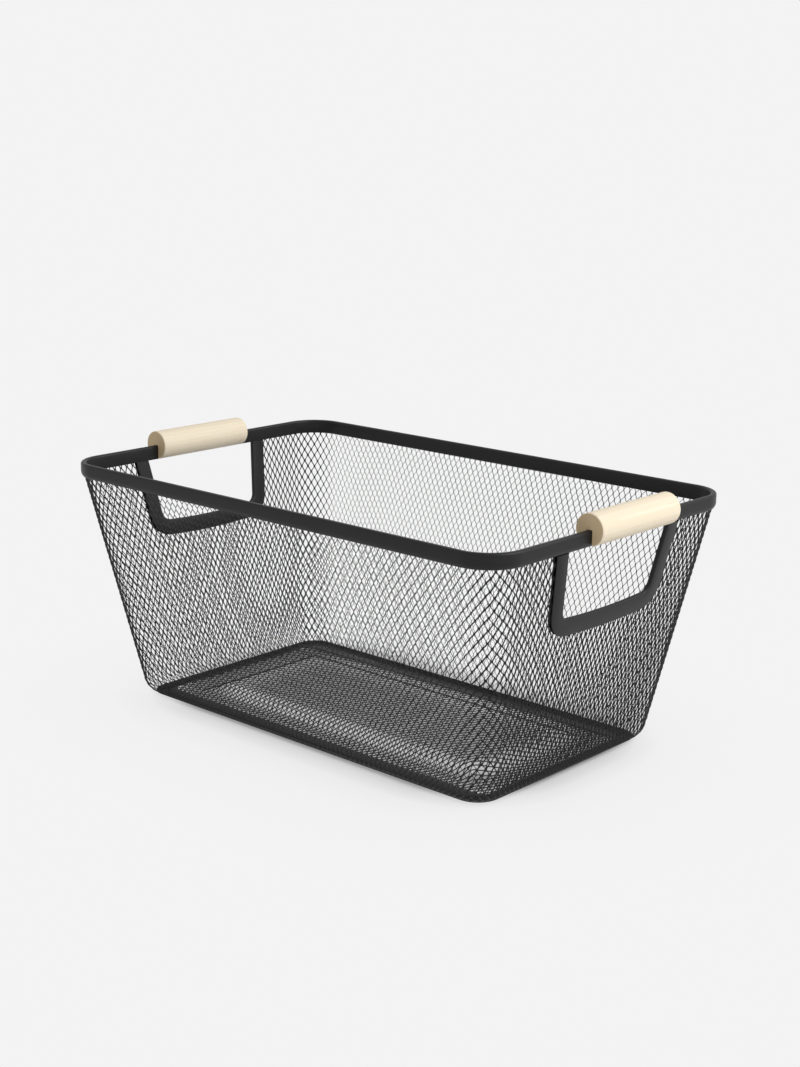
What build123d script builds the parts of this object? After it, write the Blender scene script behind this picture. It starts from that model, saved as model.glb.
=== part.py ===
from build123d import *
import math
import os

# Wire basket of expanded steel mesh with a folded rim band and two wooden grips.
# Millimetres, +Z up. The origin is on the surface it stands on, below the middle
# of the mouth. +X runs along the basket, towards the right hand hole.

# Rim band: a steel strip folded into a channel that closes over the mesh edge
rim_length = 380.0
rim_width = 240.0
rim_top = 167.5
rim_height = 9.8
rim_thickness = 4.0
rim_leaf = 0.8
rim_corner_radius = 26.0
rim_crown_edge = 1.3
rim_lip_edge = 0.6

# Mesh walls: one sheet, leaning outwards from the floor to the rim band
mesh_sheet = 0.8
mesh_setback = 2.3
floor_setback = 32.4
mesh_tuck = 3.0
bend_radius = 10.6
base_corner_radius = 7.0
sole_corner_radius = 5.0
bend_steps = 4

# Diamonds, longer upwards than across, over four times as coarse as the real ones
diamond_width = 19.0
diamond_height = 35.0
strand_width = 1.9
least_gap_share = 0.2

# Wall corners, bent in flats, with one column of gaps that widen upwards
corner_bends = 4
corner_gap_count = 6
corner_gap_width_share = 0.55
corner_gap_height_share = 0.8

# Floor: the walls' flange with a stamped mesh panel lying on it
flange_setback = 15.0
step_setback = 29.0
panel_edge_gap = 0.7
step_width = 1.0

# Hand holes, measured in the end wall, and the channels folded round their edges
hole_half_top = 50.0
hole_half_foot = 43.5
hole_foot_slant = 116.0
hole_foot_sag = 1.3
hole_corner_radius = 7.0
strip_width = 11.2
strip_thickness = 3.2
strip_fold = 1.2

# Wooden grips: dowels slotted up to their axis and pressed down over the band
grip_diameter = 20.0
grip_length = 80.0
grip_edge = 1.2
left_grip_shift = -1.5
right_grip_shift = 9.0

# Clearances, and one overrun for every cut
seat_gap = 0.1
overrun = 5.0

rim_foot = rim_top - rim_height
lean_run = floor_setback - mesh_setback
lean = math.degrees(math.atan2(lean_run, rim_foot))
lean_sine = math.sin(math.radians(lean))
lean_cosine = math.cos(math.radians(lean))
sole_length = rim_length - 2 * floor_setback
sole_width = rim_width - 2 * floor_setback
turn = 90 - lean
bend_setback = bend_radius * math.tan(math.radians(turn / 2))
wall_foot = bend_radius - bend_radius * math.cos(math.radians(turn))
wall_head = rim_foot + mesh_tuck


def half_length_at(height):
    return sole_length / 2 + lean_run * height / rim_foot


def half_width_at(height):
    return sole_width / 2 + lean_run * height / rim_foot


def corner_radius_at(height):
    rise = (height - wall_foot) / (rim_foot - wall_foot)
    head_radius = rim_corner_radius - mesh_setback
    return base_corner_radius + (head_radius - base_corner_radius) * rise


def slant(height):
    return height / lean_cosine


# Wall planes: local X runs along the wall, local Y up its slope, Z outwards
front_plane = Plane(
    origin=(0, -sole_width / 2, 0),
    x_dir=(1, 0, 0),
    z_dir=(0, -lean_cosine, -lean_sine),
)
right_plane = Plane(
    origin=(sole_length / 2, 0, 0),
    x_dir=(0, 1, 0),
    z_dir=(lean_cosine, 0, -lean_sine),
)

# One diamond gap, the lattice cell less half a strand all round
cell_half_width = diamond_width / 2
cell_half_height = diamond_height / 2
cell_edge = math.hypot(cell_half_width, cell_half_height)
cell_inradius = cell_half_width * cell_half_height / cell_edge
gap_share = 1 - strand_width / 2 / cell_inradius
diamond = [
    (cell_half_width * gap_share, 0),
    (0, cell_half_height * gap_share),
    (-cell_half_width * gap_share, 0),
    (0, -cell_half_height * gap_share),
]
full_gap_area = 2 * cell_half_width * cell_half_height * gap_share**2


def lattice(half_span, foot, head):
    """Centres of the staggered diamonds over a span, from foot to head."""
    columns = math.ceil(half_span / diamond_width)
    rows = math.ceil((head - foot) / cell_half_height)
    places = []
    for row in range(rows + 1):
        stagger = cell_half_width * (row % 2)
        for column in range(-columns, columns + 1):
            places.append((column * diamond_width + stagger, foot + row * cell_half_height))
    return places


def gaps_inside(window, places):
    """The lattice gaps cut off at a window's edge, without their slivers."""
    with BuildSketch() as gaps:
        with Locations(*places):
            Polygon(*diamond, align=None)
        add(window, mode=Mode.INTERSECT)
    return [gap for gap in gaps.faces() if gap.area > least_gap_share * full_gap_area]


def wall_outline(half_foot, half_head, inset, head):
    """A wall's slanting four-sided outline, drawn in by an inset at its sides."""
    foot = slant(wall_foot)
    with BuildSketch() as outline:
        with BuildLine():
            Polyline(
                (-half_foot + inset, foot + inset),
                (half_foot - inset, foot + inset),
                (half_head - inset, head),
                (-half_head + inset, head),
                close=True,
            )
        make_face()
    return outline.sketch_local


def hole_outline(grow):
    """The hand hole's outline, larger by grow at its sides and foot."""
    side_slope = (hole_half_top - hole_half_foot) / (slant(rim_foot) - hole_foot_slant)
    side_grow = grow * math.hypot(1, side_slope)
    foot = hole_foot_slant - grow
    head = slant(rim_foot) + overrun
    half_foot = hole_half_foot + side_grow - grow * side_slope
    half_head = hole_half_top + side_grow + overrun * side_slope
    with BuildSketch() as outline:
        with BuildLine():
            ThreePointArc((-half_foot, foot), (0, foot - hole_foot_sag), (half_foot, foot))
            Polyline((half_foot, foot), (half_head, head), (-half_head, head), (-half_foot, foot))
        make_face()
        fillet(outline.vertices().group_by(Axis.Y)[0], hole_corner_radius + grow)
    return outline.sketch_local


# Rim band, a ring with an eased crown and a groove that takes the mesh edge
groove_out = rim_leaf
groove_in = rim_thickness - rim_leaf
with BuildPart() as rim_band:
    with BuildSketch(Plane.XY.offset(rim_foot)):
        RectangleRounded(rim_length, rim_width, rim_corner_radius)
        RectangleRounded(
            rim_length - 2 * rim_thickness,
            rim_width - 2 * rim_thickness,
            rim_corner_radius - rim_thickness,
            mode=Mode.SUBTRACT,
        )
    extrude(amount=rim_height)
    chamfer(rim_band.edges().group_by(Axis.Z)[-1], rim_crown_edge)
    rim_underside = rim_band.faces().sort_by(Axis.Z)[0]
    chamfer(rim_underside.outer_wire().edges(), rim_lip_edge)
    with BuildSketch(Plane.XY.offset(rim_foot)):
        RectangleRounded(
            rim_length - 2 * groove_out,
            rim_width - 2 * groove_out,
            rim_corner_radius - groove_out,
        )
        RectangleRounded(
            rim_length - 2 * groove_in,
            rim_width - 2 * groove_in,
            rim_corner_radius - groove_in,
            mode=Mode.SUBTRACT,
        )
    extrude(amount=rim_height - 2 * rim_leaf, mode=Mode.SUBTRACT)

# Long walls, holed all over
wall_head_slant = slant(wall_head)
long_foot = half_length_at(wall_foot) - corner_radius_at(wall_foot)
long_head = half_length_at(wall_head) - corner_radius_at(wall_head)
long_outline = wall_outline(long_foot, long_head, 0, wall_head_slant)
long_window = wall_outline(long_foot, long_head, strand_width / 2, slant(rim_foot))
long_places = lattice(long_head, slant(wall_foot), slant(rim_foot))
long_gaps = gaps_inside(long_window, long_places)
with BuildPart() as front_wall:
    with BuildSketch(front_plane):
        add(long_outline)
        add(long_gaps, mode=Mode.SUBTRACT)
    extrude(amount=-mesh_sheet)
with BuildPart() as back_wall:
    mirror(front_wall.part, about=Plane.XZ)

# End walls, holed round the hand holes, whose edges lie in the folded strips
short_foot = half_width_at(wall_foot) - corner_radius_at(wall_foot)
short_head = half_width_at(wall_head) - corner_radius_at(wall_head)
short_outline = wall_outline(short_foot, short_head, 0, wall_head_slant)
short_window = wall_outline(short_foot, short_head, strand_width / 2, slant(rim_foot))
mesh_cutout = hole_outline(strip_fold + seat_gap)
strip_outline = hole_outline(strip_width)
with BuildSketch() as round_strip:
    add(short_window)
    add(strip_outline, mode=Mode.SUBTRACT)
short_places = lattice(short_head, slant(wall_foot), slant(rim_foot))
short_gaps = gaps_inside(round_strip.sketch_local, short_places)
with BuildPart() as right_wall:
    with BuildSketch(right_plane):
        add(short_outline)
        add(mesh_cutout, mode=Mode.SUBTRACT)
        add(short_gaps, mode=Mode.SUBTRACT)
    extrude(amount=-mesh_sheet)
with BuildPart() as left_wall:
    mirror(right_wall.part, about=Plane.YZ)

# Wall corners, rounder towards the rim, each with one column of widening gaps
corner_step = math.radians(90 / corner_bends)


def corner_points(inset):
    """The flats' end points and the corner's middle, at its foot and at its head."""
    points = []
    for height in (wall_foot, wall_head):
        radius = corner_radius_at(height)
        middle = Vector(half_length_at(height) - radius, half_width_at(height) - radius, height)
        touch = radius - inset
        reach = touch / math.cos(corner_step / 2)
        points += [middle, middle + Vector(touch, 0), middle + Vector(0, touch)]
        for bend in range(corner_bends):
            angle = corner_step * (bend + 1 / 2)
            points.append(middle + Vector(reach * math.cos(angle), reach * math.sin(angle)))
    return points


with BuildPart() as right_back_corner:
    ConvexPolyhedron(corner_points(0))
    ConvexPolyhedron(corner_points(mesh_sheet), mode=Mode.SUBTRACT)
    corner_pitch = (rim_foot - wall_foot) / corner_gap_count
    for place in range(corner_gap_count):
        height = wall_foot + corner_pitch * (place + 1 / 2)
        radius = corner_radius_at(height)
        reach = radius * math.cos(math.radians(45))
        middle = (
            half_length_at(height) - radius + reach,
            half_width_at(height) - radius + reach,
            height,
        )
        half_gap = radius * corner_gap_width_share
        half_rise = corner_pitch * corner_gap_height_share / 2
        with BuildSketch(Plane(origin=middle, x_dir=(-1, 1, 0), z_dir=(1, 1, 0))):
            Polygon((half_gap, 0), (0, half_rise), (-half_gap, 0), (0, -half_rise), align=None)
        extrude(amount=overrun, both=True, mode=Mode.SUBTRACT)
with BuildPart() as left_back_corner:
    mirror(right_back_corner.part, about=Plane.YZ)
with BuildPart() as right_front_corner:
    mirror(right_back_corner.part, about=Plane.XZ)
with BuildPart() as left_front_corner:
    mirror(left_back_corner.part, about=Plane.XZ)


def bend_section(radius, step):
    """Size and height of the bend's outline at a step from the floor to the wall."""
    angle = math.radians(turn * step / bend_steps)
    reach = radius * math.sin(angle) - bend_setback
    height = bend_radius - radius * math.cos(angle)
    corner = sole_corner_radius + (base_corner_radius - sole_corner_radius) * step / bend_steps
    inner = bend_radius - radius
    return sole_length + 2 * reach, sole_width + 2 * reach, corner - inner, height


# Base bend, where the wall sheet turns under and ends as a flat flange
with BuildPart() as bend_inside:
    for step in range(bend_steps + 1):
        length, width, corner, height = bend_section(bend_radius - mesh_sheet, step)
        with BuildSketch(Plane.XY.offset(height)):
            RectangleRounded(length, width, corner)
    loft(ruled=True)
with BuildPart() as base_bend:
    for step in range(bend_steps + 1):
        length, width, corner, height = bend_section(bend_radius, step)
        with BuildSketch(Plane.XY.offset(height)):
            RectangleRounded(length, width, corner)
    loft(ruled=True)
    add(bend_inside.part, mode=Mode.SUBTRACT)
    with BuildSketch():
        RectangleRounded(
            sole_length - 2 * flange_setback,
            sole_width - 2 * flange_setback,
            sole_corner_radius,
        )
    extrude(amount=bend_radius, mode=Mode.SUBTRACT)

# Floor panel: its border lies on the flange and a stamped step drops its field
border_level = mesh_sheet + seat_gap
panel_setback = bend_setback + panel_edge_gap
panel_length = sole_length - 2 * panel_setback
panel_width = sole_width - 2 * panel_setback
field_length = sole_length - 2 * step_setback
field_width = sole_width - 2 * step_setback
floor_places = lattice(sole_length / 2, -sole_width / 2, sole_width / 2)
field_window = Rectangle(
    field_length - 2 * step_width,
    field_width - 2 * step_width,
    mode=Mode.PRIVATE,
)
with BuildSketch() as border_window:
    Rectangle(sole_length - 2 * flange_setback, sole_width - 2 * flange_setback)
    Rectangle(field_length + 2 * step_width, field_width + 2 * step_width, mode=Mode.SUBTRACT)
field_gaps = gaps_inside(field_window, floor_places)
border_gaps = gaps_inside(border_window.sketch_local, floor_places)
with BuildPart() as floor_panel:
    with BuildSketch():
        RectangleRounded(field_length, field_width, sole_corner_radius)
        add(field_gaps, mode=Mode.SUBTRACT)
    extrude(amount=mesh_sheet)
    with BuildSketch(Plane.XY.offset(border_level)):
        RectangleRounded(panel_length, panel_width, base_corner_radius)
        RectangleRounded(
            field_length - 2 * step_width,
            field_width - 2 * step_width,
            sole_corner_radius,
            mode=Mode.SUBTRACT,
        )
        add(border_gaps, mode=Mode.SUBTRACT)
    extrude(amount=mesh_sheet)
    with BuildSketch():
        RectangleRounded(field_length, field_width, sole_corner_radius)
        RectangleRounded(
            field_length - 2 * step_width,
            field_width - 2 * step_width,
            sole_corner_radius,
            mode=Mode.SUBTRACT,
        )
    extrude(amount=border_level + mesh_sheet)

# Handle frames: channels folded over the cut mesh round three sides of each hole
hand_hole = hole_outline(0)
mesh_slot = hole_outline(strip_fold)
with BuildPart() as right_frame:
    with BuildSketch(right_plane.offset(-mesh_sheet / 2)):
        add(strip_outline)
        add(hand_hole, mode=Mode.SUBTRACT)
    extrude(amount=strip_thickness / 2, both=True)
    with BuildSketch(right_plane.offset(-mesh_sheet / 2)):
        add(hole_outline(strip_width + overrun))
        add(mesh_slot, mode=Mode.SUBTRACT)
    extrude(amount=mesh_sheet / 2 + seat_gap, both=True, mode=Mode.SUBTRACT)
    split(bisect_by=Plane.XY.offset(rim_foot - seat_gap), keep=Keep.BOTTOM)
with BuildPart() as left_frame:
    mirror(right_frame.part, about=Plane.YZ)


def write(piece, name):
    """Label a finished piece and save it under its node's name."""
    piece.part.label = name
    export_step(piece.part, f"parts/{name}.step")


# Grips, slotted from below, with the band's top edge on their axis
grips = {}
for side, name, shift in ((-1, "grip_left", left_grip_shift), (1, "grip_right", right_grip_shift)):
    axis_place = (side * (rim_length / 2 - rim_thickness / 2), shift, rim_top + seat_gap)
    axis_plane = Plane(origin=axis_place, x_dir=(1, 0, 0), z_dir=(0, -1, 0))
    with BuildPart() as grip:
        with BuildSketch(axis_plane):
            Circle(grip_diameter / 2)
        extrude(amount=grip_length / 2, both=True)
        chamfer(grip.edges().filter_by(GeomType.CIRCLE), grip_edge)
        with BuildSketch(axis_plane):
            Rectangle(
                rim_thickness + 2 * seat_gap,
                grip_diameter / 2 + overrun,
                align=(Align.CENTER, Align.MAX),
            )
        extrude(amount=grip_length / 2 + overrun, both=True, mode=Mode.SUBTRACT)
    grips[name] = grip

os.makedirs("parts", exist_ok=True)
write(rim_band, "rim_band")
write(front_wall, "wall_mesh_front")
write(back_wall, "wall_mesh_back")
write(left_wall, "wall_mesh_left")
write(right_wall, "wall_mesh_right")
write(left_front_corner, "wall_corner_left_front")
write(left_back_corner, "wall_corner_left_back")
write(right_front_corner, "wall_corner_right_front")
write(right_back_corner, "wall_corner_right_back")
write(base_bend, "wall_base_bend")
write(floor_panel, "floor_mesh_panel")
write(left_frame, "handle_frame_left")
write(right_frame, "handle_frame_right")
for name, grip in grips.items():
    write(grip, name)
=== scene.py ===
import bpy
import bmesh
import math
from mathutils import Matrix, Vector


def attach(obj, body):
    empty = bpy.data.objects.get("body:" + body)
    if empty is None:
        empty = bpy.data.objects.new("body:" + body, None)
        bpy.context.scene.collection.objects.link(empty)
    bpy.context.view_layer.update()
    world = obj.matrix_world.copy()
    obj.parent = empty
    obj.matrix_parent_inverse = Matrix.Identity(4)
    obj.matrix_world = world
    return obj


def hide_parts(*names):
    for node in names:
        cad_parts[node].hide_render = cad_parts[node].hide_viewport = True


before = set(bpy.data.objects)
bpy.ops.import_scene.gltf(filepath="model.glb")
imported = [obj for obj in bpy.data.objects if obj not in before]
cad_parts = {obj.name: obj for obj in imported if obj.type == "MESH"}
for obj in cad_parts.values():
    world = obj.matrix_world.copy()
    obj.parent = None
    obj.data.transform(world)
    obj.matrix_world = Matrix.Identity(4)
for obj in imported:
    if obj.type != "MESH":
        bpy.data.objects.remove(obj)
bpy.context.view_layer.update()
scene = bpy.context.scene
scene.view_settings.view_transform = "Standard"
mm = 0.001
print("frame loaded,", len(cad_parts), "nodes")

# The basket's main sizes in millimetres, the same as in the part's source
basket = {
    "rimLength": 380.0,
    "rimWidth": 240.0,
    "rimTop": 167.5,
    "rimHeight": 9.8,
    "rimThickness": 4.0,
    "rimCorner": 26.0,
    "meshSetback": 2.3,    # of the mesh's head, in from the rim band's outer face
    "floorSetback": 32.4,    # of the mesh's foot, were it not bent
    "sheet": 0.8,
}
# The sheet is pressed with softer turns than the solids have, inside their outline
pressedBase = {
    "bendRadius": 13.0,
    "baseCorner": 17.0,
    "soleCorner": 15.0,
    "flangeCorner": 6.0,
    "flangeSetback": 13.6,
    "flangeLift": 1.1,
    "doubledHeight": 2.4,    # the closed strip reaches up to here
}
# The hand hole in each end wall: half widths, and its foot's place up the slope
handHole = {
    "halfTop": 50.0,
    "halfFoot": 43.5,
    "foot": 116.0,
}
rimFoot = basket["rimTop"] - basket["rimHeight"]
leanRun = basket["floorSetback"] - basket["meshSetback"]
lean = math.atan2(leanRun, rimFoot)
turn = math.pi / 2 - lean
bendSetback = pressedBase["bendRadius"] * math.tan(turn / 2)
wallFoot = pressedBase["bendRadius"] * (1 - math.cos(turn))
soleHalfLength = basket["rimLength"] / 2 - basket["floorSetback"]
soleHalfWidth = basket["rimWidth"] / 2 - basket["floorSetback"]


def hexColor(text):
    # sRGB hex to the linear values that the shaders take
    channels = []
    for place in (1, 3, 5):
        share = int(text[place:place + 2], 16) / 255
        channels.append(share / 12.92 if share <= 0.04045 else ((share + 0.055) / 1.055) ** 2.4)
    return (*channels, 1.0)


def addNode(tree, kind, settings=None, links=None):
    # One node with its settings; an input is given a value or another node's socket
    node = tree.nodes.new(kind)
    for name, value in (settings or {}).items():
        setattr(node, name, value)
    for key, value in (links or {}).items():
        if isinstance(value, bpy.types.NodeSocket):
            tree.links.new(value, node.inputs[key])
        else:
            node.inputs[key].default_value = value
    return node


def newMaterial(name):
    material = bpy.data.materials.new(name)
    material.use_nodes = True
    material.node_tree.nodes.clear()
    return material, material.node_tree


# Camera: stands at the front right, a little above the rim. Its offset is from the
# basket's origin, along its own axes.
cameraView = {
    "azimuth": 42.3737,
    "elevation": 13.9456,
    "roll": 0.4336,
    "offset": (9.502, 123.66, 1174.53),
    "lens": 57.73,
    "sensorHeight": 36.0,
    "clipStart": 0.01,
}
turnAround, lookDown, roll = (
    math.radians(cameraView[key]) for key in ("azimuth", "elevation", "roll")
)
across = Vector((math.cos(turnAround), math.sin(turnAround), 0))
towards = Vector((
    math.sin(turnAround) * math.cos(lookDown),
    -math.cos(turnAround) * math.cos(lookDown),
    math.sin(lookDown),
))
upward = towards.cross(across)
rolledAcross = across * math.cos(roll) + upward * math.sin(roll)
rolledUpward = upward * math.cos(roll) - across * math.sin(roll)
cameraData = bpy.data.cameras.new("photoCamera")
cameraData.sensor_fit = "VERTICAL"
cameraData.sensor_height = cameraView["sensorHeight"]
cameraData.lens = cameraView["lens"]
cameraData.clip_start = cameraView["clipStart"]
camera = bpy.data.objects.new("photoCamera", cameraData)
place = Matrix((rolledAcross, rolledUpward, towards)).transposed()
stand = place @ Vector(cameraView["offset"]) * mm
camera.matrix_world = Matrix.Translation(stand) @ place.to_4x4()
scene.collection.objects.link(camera)
scene.camera = camera
print("camera placed")

powderCoat = {
    "color": "#1e1e1f",
    "darkColor": "#171718",
    "ior": 1.36,
    "roughness": 0.45,
    "glossSpread": 0.05,
    "cloudSize": 18.0,
    "peelSize": 0.7,
    "peelDepth": 0.012,
    "peelStrength": 0.6,
}


def makePowderCoat():
    # Steel with a baked black powder coat: satin, with the faint orange peel that
    # powder leaves as it melts, and tiny differences in gloss from place to place
    material, tree = newMaterial("blackPowderCoatOnSteel")
    coords = addNode(tree, "ShaderNodeTexCoord").outputs["Object"]
    cloud = addNode(tree, "ShaderNodeTexNoise", None, {
        "Vector": coords, "Scale": 1 / (powderCoat["cloudSize"] * mm), "Detail": 3.0})
    tint = addNode(tree, "ShaderNodeMix", {"data_type": "RGBA"}, {
        0: cloud.outputs[0],
        6: hexColor(powderCoat["darkColor"]),
        7: hexColor(powderCoat["color"]),
    })
    gloss = addNode(tree, "ShaderNodeMapRange", None, {
        "Value": cloud.outputs[0],
        "To Min": powderCoat["roughness"] - powderCoat["glossSpread"],
        "To Max": powderCoat["roughness"] + powderCoat["glossSpread"],
    })
    peel = addNode(tree, "ShaderNodeTexNoise", None, {
        "Vector": coords, "Scale": 1 / (powderCoat["peelSize"] * mm), "Detail": 2.0})
    bump = addNode(tree, "ShaderNodeBump", None, {
        "Height": peel.outputs[0],
        "Distance": powderCoat["peelDepth"] * mm,
        "Strength": powderCoat["peelStrength"],
    })
    shader = addNode(tree, "ShaderNodeBsdfPrincipled", None, {
        "Base Color": tint.outputs[2],
        "Roughness": gloss.outputs[0],
        "IOR": powderCoat["ior"],
        "Normal": bump.outputs[0],
    })
    addNode(tree, "ShaderNodeOutputMaterial", None, {"Surface": shader.outputs[0]})
    return material


birch = {
    "color": "#f5e8d1",
    "lateColor": "#e8d3ae",
    "fleckColor": "#d2b88c",
    "endColor": "#ead0a6",
    "endRange": (0.8, 0.95),
    "heart": (0.11, 0.0, -0.02),
    "ringSpacing": 2.6,
    "ringStretch": 0.06,
    "ringSway": 0.004,
    "swayScale": 90.0,
    "ringShare": 0.35,
    "fibreWidth": 0.35,
    "fibreStretch": 0.03,
    "fibreDepth": 0.05,
    "fleckRange": (0.62, 0.74),
    "fleckShare": 0.45,
    "ior": 1.45,
    "roughness": 0.58,
}


def makeBirch():
    # Birch dowel, turned and sanded, without a finish: pale and matt, with faint
    # growth rings cut lengthwise, short darker flecks and fine fibre lines. The sawn
    # ends soak up more light and look warmer.
    material, tree = newMaterial("sandedBirchDowel")
    coords = addNode(tree, "ShaderNodeTexCoord").outputs["Object"]
    # The tree's heart lies outside the dowel, so the rings cross it as shallow arcs
    ringPlace = addNode(tree, "ShaderNodeMapping", None, {
        "Vector": coords, "Location": birch["heart"],
        "Scale": (1.0, birch["ringStretch"], 1.0)})
    sway = addNode(tree, "ShaderNodeTexNoise", None, {
        "Vector": ringPlace.outputs[0], "Scale": birch["swayScale"], "Detail": 2.0})
    shifted = addNode(tree, "ShaderNodeMix", {"data_type": "RGBA", "blend_type": "ADD"}, {
        0: birch["ringSway"], 6: ringPlace.outputs[0], 7: sway.outputs[1]})
    # A wave texture has one band in 2 pi / 20 of its scaled coordinates
    rings = addNode(tree, "ShaderNodeTexWave",
                    {"wave_type": "RINGS", "rings_direction": "Y", "wave_profile": "SAW"},
                    {"Vector": shifted.outputs[2],
                     "Scale": 2 * math.pi / 20 / (birch["ringSpacing"] * mm)})
    fibrePlace = addNode(tree, "ShaderNodeMapping", None, {
        "Vector": coords, "Scale": (1.0, birch["fibreStretch"], 1.0)})
    fibres = addNode(tree, "ShaderNodeTexNoise", None, {
        "Vector": fibrePlace.outputs[0], "Scale": 1 / (birch["fibreWidth"] * mm), "Detail": 3.0})
    flecks = addNode(tree, "ShaderNodeValToRGB", None, {0: fibres.outputs[0]})
    for element, position in zip(flecks.color_ramp.elements, birch["fleckRange"]):
        element.position = position
    ringShade = addNode(tree, "ShaderNodeMath", {"operation": "MULTIPLY"}, {
        0: rings.outputs[1], 1: birch["ringShare"]})
    wood = addNode(tree, "ShaderNodeMix", {"data_type": "RGBA"}, {
        0: ringShade.outputs[0],
        6: hexColor(birch["color"]),
        7: hexColor(birch["lateColor"]),
    })
    fleckShade = addNode(tree, "ShaderNodeMath", {"operation": "MULTIPLY"}, {
        0: flecks.outputs[0], 1: birch["fleckShare"]})
    flecked = addNode(tree, "ShaderNodeMix", {"data_type": "RGBA"}, {
        0: fleckShade.outputs[0],
        6: wood.outputs[2],
        7: hexColor(birch["fleckColor"]),
    })
    facing = addNode(tree, "ShaderNodeTexCoord").outputs["Normal"]
    lengthwise = addNode(tree, "ShaderNodeSeparateXYZ", None, {0: facing}).outputs[1]
    endwise = addNode(tree, "ShaderNodeMath", {"operation": "ABSOLUTE"}, {0: lengthwise})
    sawn = addNode(tree, "ShaderNodeMapRange", None, {
        "Value": endwise.outputs[0],
        "From Min": birch["endRange"][0],
        "From Max": birch["endRange"][1],
    })
    ended = addNode(tree, "ShaderNodeMix", {"data_type": "RGBA"}, {
        0: sawn.outputs[0],
        6: flecked.outputs[2],
        7: hexColor(birch["endColor"]),
    })
    bump = addNode(tree, "ShaderNodeBump", None, {
        "Height": fibres.outputs[0], "Distance": birch["fibreDepth"] * mm, "Strength": 0.5})
    shader = addNode(tree, "ShaderNodeBsdfPrincipled", None, {
        "Base Color": ended.outputs[2],
        "Roughness": birch["roughness"],
        "IOR": birch["ior"],
        "Normal": bump.outputs[0],
    })
    addNode(tree, "ShaderNodeOutputMaterial", None, {"Surface": shader.outputs[0]})
    return material


coatMaterial = makePowderCoat()
birchMaterial = makeBirch()
for nodeName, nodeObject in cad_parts.items():
    nodeMaterial = birchMaterial if nodeName.startswith("grip") else coatMaterial
    for slot in nodeObject.material_slots:
        slot.material = nodeMaterial
print("materials made")


def outlinePoint(halfLength, halfWidth, radius, distance):
    # A point on a rounded rectangle, its distance run from the front's middle
    # towards +X and round, and the direction that faces outwards there
    flatLong = halfLength - radius
    flatShort = halfWidth - radius
    arc = radius * math.pi / 2
    quarter = flatLong + arc + flatShort
    distance = distance % (4 * quarter)
    part = int(distance // quarter)
    along = distance - part * quarter
    if part % 2:
        along = quarter - along
    if along <= flatLong:
        x, y, outX, outY = along, -halfWidth, 0.0, -1.0
    elif along <= flatLong + arc:
        angle = (along - flatLong) / radius
        x = flatLong + radius * math.sin(angle)
        y = -flatShort - radius * math.cos(angle)
        outX, outY = math.sin(angle), -math.cos(angle)
    else:
        x, y, outX, outY = halfLength, -(quarter - along), 1.0, 0.0
    if part in (2, 3):
        x, outX = -x, -outX
    if part in (1, 2):
        y, outY = -y, -outY
    return (x, y), (outX, outY), quarter


def outlineSide(halfLength, halfWidth, radius, distance):
    # Which wall a place on the outline belongs to, and its share from that wall's
    # middle, 0, to the middles of its corners, 1
    longRun = halfLength - radius + radius * math.pi / 4
    shortRun = halfWidth - radius + radius * math.pi / 4
    around = 4 * (longRun + shortRun)
    distance = (distance + longRun) % around
    for side in range(4):
        run = longRun if side % 2 == 0 else shortRun
        if distance < 2 * run:
            return side, distance / run - 1
        distance -= 2 * run
    return 0, -1.0


# Expanded steel mesh. A column is one diamond across and a row one diamond high.
# A guide surface's map holds this many columns or rows in its unit square.
mapSpan = 256
mapShift = 0.0173    # keeps the lattice off the guides' own edges, where sampling can miss
wallMesh = {
    "longColumns": 37,    # from a wall's middle to its corner's middle
    "shortColumns": 21,
    "strandLength": 5.0,    # from bond to bond
    "strandWidth": 0.74,
    "strandThickness": 0.29,
    "strandTilt": 43.0,
    "strandTwist": -12.0,
    "bondLength": 1.5,
    "columnWidth": 4.6,
    "shoulderSpread": 0.15,
    "shoulderReach": 1.25,
    "footWidening": (0.27, 2.8),    # at the corners: how much, and over how many columns
    "headWidening": (-0.02, 3.7),
    "footSquash": 0.13,
    "columnBow": (-6.6, 5.0, 3.0, -3.0),    # front, right, back and left wall
    "cornerDip": 4.5,    # rows lie this much lower at the corners
    "rowAtFoot": 6.0,
    "rowStretch": (1.03, 1.05, 0.93, 0.98),    # front, right, back and left wall
    "cornerStretch": 0.99,
    "baseRowHeight": 7.8,
    "longWallBow": 1.9,
    "flatRelief": 0.3,    # strands are pressed flat under the base
    "holeMargin": 5.8,
    "cornerColumns": 2,
    "wallRows": (5.0, 44),    # first row, and how many half rows
    "bendRows": (0.0, 16),
}
# Steps of the guide surfaces, and how far they go past the mesh that lies on them
guideSheet = {
    "bendSteps": 10,
    "wallSteps": 28,
    "spareEdge": 6.0,
    "cutWidth": 0.1,
    "flangeEase": 1.5,
    "meshIntoRim": 1.2,
    "guideIntoRim": 6.5,
    "seamOverlap": (6, 14),
}
# The flange lies so tight on the floor panel's edge that the two show as closed sheet
flangeStrip = {
    "halfLength": 144.0,
    "halfWidth": 67.5,
    "innerSide": 0.12,
    "outerSide": 0.38,
    "cornerSteps": 12,
}
floorMesh = {
    "columnWidth": 4.55,
    "rowHeight": 8.7,
    "strandTilt": -45.0,
    "relief": 0.8,
    "edgeSetback": 12.0,
    "stepFoot": 30.6,    # the slope starts and ends this far in
    "stepHead": 47.0,
    "borderLevel": 0.6,
    "fieldLevel": 6.8,
    "corner": 14.0,
    "guideStep": 3.0,
    "guideMargin": 6.0,
}


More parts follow.
